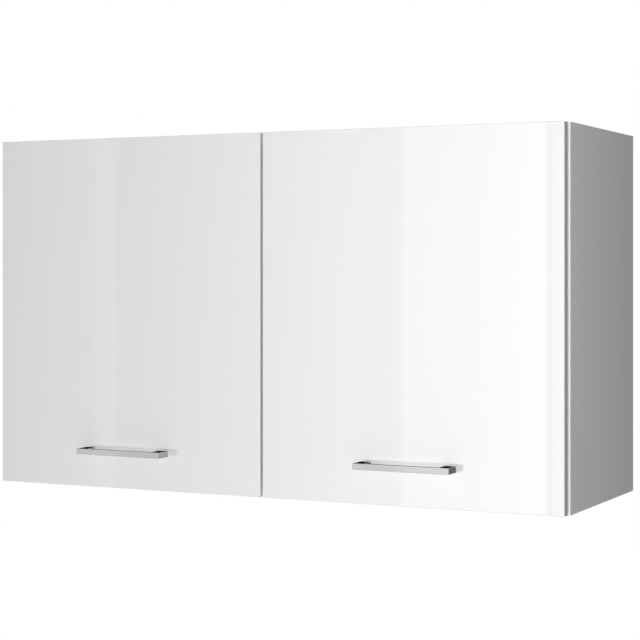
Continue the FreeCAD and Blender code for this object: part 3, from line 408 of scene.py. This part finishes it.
def beech_finish():
    """Beech dowels: pale brown with short darker flecks along the grain, which runs along X."""
    material, tree, sockets, place = start_material("beech", Specular_IOR_Level=0.3)
    lines = use_group(tree, DRAWN_LINES, Place=place, Stretch=(140.0, 2400.0, 2400.0),
                      Roughness=0.6, Drift=0.2)
    connect(tree, sockets, ramp(tree, lines["Tone"], BEECH_BROWNS), lines, depth=0.05 * MM)
    return material


def plastic_finish():
    """Moulded white plastic with a fine spark-eroded texture."""
    material, tree, sockets, place = start_material("white_plastic", Specular_IOR_Level=0.5)
    skin = use_group(tree, FINE_SKIN, Place=place, Bump_Size=0.35 * MM, Roughness=0.5, Drift=0.06)
    connect(tree, sockets, blend_colors(tree, skin["Tone"], *PLASTIC_WHITES), skin, depth=0.02 * MM)
    return material


def rubber_finish():
    """Clear soft door bumpers, slightly milky."""
    material, tree, sockets, place = start_material(
        "clear_rubber", Transmission_Weight=0.55, IOR=1.45, Specular_IOR_Level=0.5)
    skin = use_group(tree, FINE_SKIN, Place=place, Bump_Size=0.6 * MM, Roughness=0.22, Drift=0.1)
    connect(tree, sockets, blend_colors(tree, skin["Tone"], *RUBBER_TONES), skin, depth=0.01 * MM)
    return material


def dress_nodes():
    """Gives each node of the frame the finish of its slot in the record. Boards and doors have one each."""
    finishes = {
        "white_edge": edge_band_finish(), "white_back": back_finish(), "chrome": chrome_finish(),
        "nickel_steel": nickel_finish(), "zinc_fitting": zinc_finish(), "beech": beech_finish(),
        "white_plastic": plastic_finish(), "clear_rubber": rubber_finish(),
    }
    own = {node: board_finish(node) for node in BOARDS}
    own.update({node: gloss_finish(node) for node in DOORS})
    for part in frame["record"]["subparts"]:
        node = part["node"]
        finish = own[node] if node in own else finishes[part["material_slot"]]
        for slot in frame["nodes"][node].material_slots:
            slot.material = finish


dress_nodes()


# Floor, studio and lamps

FLOOR_LEVEL = -1.90
FLOOR_REACH = 4.0
# The floor's own colour shows near the cabinet, and plain white takes over between these distances.
FADE_START = 1.2
FADE_END = 3.2
WHITE_SHARE_NEAR = 0.7
# What metal and gloss see of the studio's walls, as a level at each angle round it in degrees.
# 0 is straight in front of the cabinet, and positive angles lie on its right.
WALL_LEVELS = ((-180, 0.3), (-130, 0.55), (-60, 0.6), (-36.2, 0.62), (-34.2, 0.67), (-32.5, 0.60),
               (-30.5, 0.63), (-28, 0.67), (-25, 0.75), (-23.5, 0.70), (-20.5, 0.695), (-19, 0.735),
               (0, 0.74), (40, 0.62), (100, 0.6), (135, 0.4), (150, 0.08), (170, 0.05), (180, 0.3))
# Sharp-edged strips on those walls: first angle, last angle, and what is added to the level.
WALL_STRIPS = ((-33.38, -32.75, 0.085), (-23.55, -18.89, 0.145), (-18.89, -18.74, -0.17))
# Share of those levels by height, from straight down at 0 to straight up at 1.
HEIGHT_SHARES = ((0.0, 0.75), (0.45, 0.5), (0.58, 0.5), (0.75, 0.56), (0.9, 0.6), (1.0, 0.6))
STUDIO_STRENGTH = 2.66
SOFT_STRENGTH = 0.11
WHITE_STRENGTH = 1.0


def distance_from_middle(tree, place):
    """How far a place on the floor lies from the vertical axis: the root of x squared plus y squared."""
    x, y = (calc(tree, "MULTIPLY", part, part) for part in parts_of(tree, place)[:2])
    return calc(tree, "POWER", calc(tree, "ADD", x, y), 0.5)


def floor_finish():
    """Pale and matt, clear from below. Rays from the camera, gloss and glass see it fade into white."""
    material = bpy.data.materials.new("pale_floor")
    material.use_nodes = True
    tree = material.node_tree
    tree.nodes.clear()
    place = tree.nodes.new("ShaderNodeTexCoord").outputs["Object"]
    pale = blend_colors(tree, noise(tree, place, scale=3.0, detail=3.0)["Fac"], *FLOOR_TONES)
    matt = add(tree, "ShaderNodeBsdfDiffuse", [("Color", pale)])
    white = add(tree, "ShaderNodeEmission", [("Color", grey(1.0)), ("Strength", WHITE_STRENGTH)])
    fade = add(tree, "ShaderNodeMapRange", [
        ("Value", distance_from_middle(tree, place)), ("From Min", FADE_START), ("From Max", FADE_END),
        ("To Min", WHITE_SHARE_NEAR), ("To Max", 1.0)]).outputs[0]
    seen = tree.nodes.new("ShaderNodeLightPath").outputs
    straight = calc(tree, "MAXIMUM", seen["Is Camera Ray"],
                    calc(tree, "MAXIMUM", seen["Is Glossy Ray"], seen["Is Transmission Ray"]))
    lit = add(tree, "ShaderNodeMixShader", [(0, calc(tree, "MULTIPLY", straight, fade)), (1, matt.outputs[0]),
                                            (2, white.outputs[0])])
    clear = tree.nodes.new("ShaderNodeBsdfTransparent")
    under = tree.nodes.new("ShaderNodeNewGeometry").outputs["Backfacing"]
    top_only = add(tree, "ShaderNodeMixShader", [(0, under), (1, lit.outputs[0]), (2, clear.outputs[0])])
    add(tree, "ShaderNodeOutputMaterial", [("Surface", top_only.outputs[0])])
    return material


def make_floor():
    """A square floor under the cabinet, in one flat face."""
    mesh = bpy.data.meshes.new("floor")
    sides = ((-1, -1), (1, -1), (1, 1), (-1, 1))
    corners = [(x * FLOOR_REACH, y * FLOOR_REACH, FLOOR_LEVEL) for x, y in sides]
    mesh.from_pydata(corners, [], [(0, 1, 2, 3)])
    floor = bpy.data.objects.new("floor", mesh)
    bpy.context.collection.objects.link(floor)
    mesh.materials.append(floor_finish())


def strip(tree, angle, first, last, level):
    """level between two angles in degrees and 0 elsewhere, with sharp edges."""
    between = calc(tree, "MULTIPLY", calc(tree, "GREATER_THAN", angle, math.radians(first)),
                   calc(tree, "LESS_THAN", angle, math.radians(last)))
    return calc(tree, "MULTIPLY", between, level)


def studio_walls(tree, toward):
    """The level that a mirror sees in a direction: the walls and their strips, times the share by height."""
    x, y, z = parts_of(tree, toward)
    around = calc(tree, "ARCTAN2", x, calc(tree, "MULTIPLY", y, -1.0))
    turn = add(tree, "ShaderNodeMapRange", [("Value", around), ("From Min", -math.pi), ("From Max", math.pi)])
    walls = ramp(tree, turn.outputs[0], [((angle + 180) / 360, grey(level)) for angle, level in WALL_LEVELS])
    for first, last, level in WALL_STRIPS:
        walls = calc(tree, "ADD", walls, strip(tree, around, first, last, level))
    height = add(tree, "ShaderNodeMapRange", [("Value", z), ("From Min", -1.0), ("From Max", 1.0)]).outputs[0]
    shares = ramp(tree, height, [(place, grey(share)) for place, share in HEIGHT_SHARES])
    return add(tree, "ShaderNodeVectorMath", [(0, walls), (1, shares)], operation="MULTIPLY").outputs[0]


def make_world():
    """White behind everything that the camera sees. Metal and gloss see a studio with pale walls, which are
    darkest behind the cabinet on its right. Matt surfaces get a plain low light from all round."""
    world = bpy.data.worlds.new("studio")
    bpy.context.scene.world = world
    world.use_nodes = True
    tree = world.node_tree
    tree.nodes.clear()
    toward = tree.nodes.new("ShaderNodeTexCoord").outputs["Generated"]
    studio = add(tree, "ShaderNodeBackground", [
        ("Color", studio_walls(tree, toward)), ("Strength", STUDIO_STRENGTH)]).outputs[0]
    white = add(tree, "ShaderNodeBackground", [("Color", grey(1.0)), ("Strength", WHITE_STRENGTH)]).outputs[0]
    soft = add(tree, "ShaderNodeBackground", [("Color", grey(1.0)), ("Strength", SOFT_STRENGTH)]).outputs[0]
    seen = tree.nodes.new("ShaderNodeLightPath").outputs
    mirrored = calc(tree, "MAXIMUM", seen["Is Glossy Ray"], seen["Is Transmission Ray"])
    lighting = add(tree, "ShaderNodeMixShader", [(0, mirrored), (1, soft), (2, studio)]).outputs[0]
    surround = add(tree, "ShaderNodeMixShader", [(0, seen["Is Camera Ray"]), (1, lighting), (2, white)])
    add(tree, "ShaderNodeOutputWorld", [("Surface", surround.outputs[0])])


def list_shadowless():
    """The handles, in a list of things that block no lamp, so the doors show no shadow of them."""
    handles = bpy.data.collections.new("shadowless_handles")
    for node in HANDLES:
        handles.objects.link(frame["nodes"][node])
    for entry in handles.collection_objects:
        entry.light_linking.link_state = "EXCLUDE"
    return handles


def make_lamp(name, shadowless, place, aim, width, height, power):
    """A soft panel lamp at place, facing aim. It lights surfaces but isn't mirrored in them."""
    light = bpy.data.lights.new(name, "AREA")
    light.shape = "RECTANGLE"
    light.size = width
    light.size_y = height
    light.energy = power
    lamp = bpy.data.objects.new(name, light)
    bpy.context.collection.objects.link(lamp)
    lamp.location = place
    direction = Vector(aim) - Vector(place)
    lamp.rotation_euler = direction.to_track_quat("-Z", "Y").to_euler()
    lamp.visible_camera = False
    lamp.visible_glossy = False
    lamp.light_linking.blocker_collection = shadowless


def make_lamps():
    """One lamp over the whole front and one close to the right side, then three for the other sides."""
    shadowless = list_shadowless()
    make_lamp("front_lamp", shadowless, place=(0.74, -2.45, -0.20), aim=(0.74, -0.35, -0.20),
              width=1.2, height=3.2, power=46.0)
    make_lamp("right_lamp", shadowless, place=(1.05, -0.80, 0.10), aim=(0.5, -0.32, 0.10),
              width=0.25, height=1.4, power=1.7)
    make_lamp("left_lamp", shadowless, place=(-2.2, 0.45, 0.45), aim=(-0.5, 0.0, -0.2),
              width=1.2, height=1.2, power=25.0)
    make_lamp("rear_lamp", shadowless, place=(-0.35, 2.6, 0.5), aim=(0.0, 0.0, -0.2),
              width=1.4, height=1.4, power=25.0)
    make_lamp("top_lamp", shadowless, place=(-0.2, 0.3, 1.9), aim=(0.0, 0.0, 0.06),
              width=1.2, height=1.2, power=12.0)


make_floor()
make_world()
make_lamps()


# Camera near the photograph's viewing angle

PHOTO_SIDE_PIXELS = 640.0
FOCAL_LENGTH_PIXELS = 1775.08
HORIZON_PIXEL = 267.09
SENSOR_WIDTH_MM = 36.0
CAMERA_RIGHT = 1.31548
CAMERA_BEHIND = -2.81403
CAMERA_ABOVE_UNDERSIDE = 0.36325
CAMERA_TURN_RADIANS = 0.4567
CLIP_END = 100.0


def make_camera():
    """A level camera to the right of the front. Its shift sets the height of the horizon in the frame."""
    lens = bpy.data.cameras.new("photo_camera")
    lens.sensor_fit = "HORIZONTAL"
    lens.sensor_width = SENSOR_WIDTH_MM
    lens.lens = FOCAL_LENGTH_PIXELS / PHOTO_SIDE_PIXELS * SENSOR_WIDTH_MM
    lens.shift_y = (HORIZON_PIXEL - PHOTO_SIDE_PIXELS / 2) / PHOTO_SIDE_PIXELS
    lens.clip_end = CLIP_END
    camera = bpy.data.objects.new("photo_camera", lens)
    bpy.context.collection.objects.link(camera)
    camera.location = (CAMERA_RIGHT, CAMERA_BEHIND, UNDERSIDE + CAMERA_ABOVE_UNDERSIDE)
    camera.rotation_euler = (math.pi / 2, 0.0, CAMERA_TURN_RADIANS)
    bpy.context.scene.camera = camera


make_camera()
bpy.context.scene.view_settings.view_transform = "Standard"
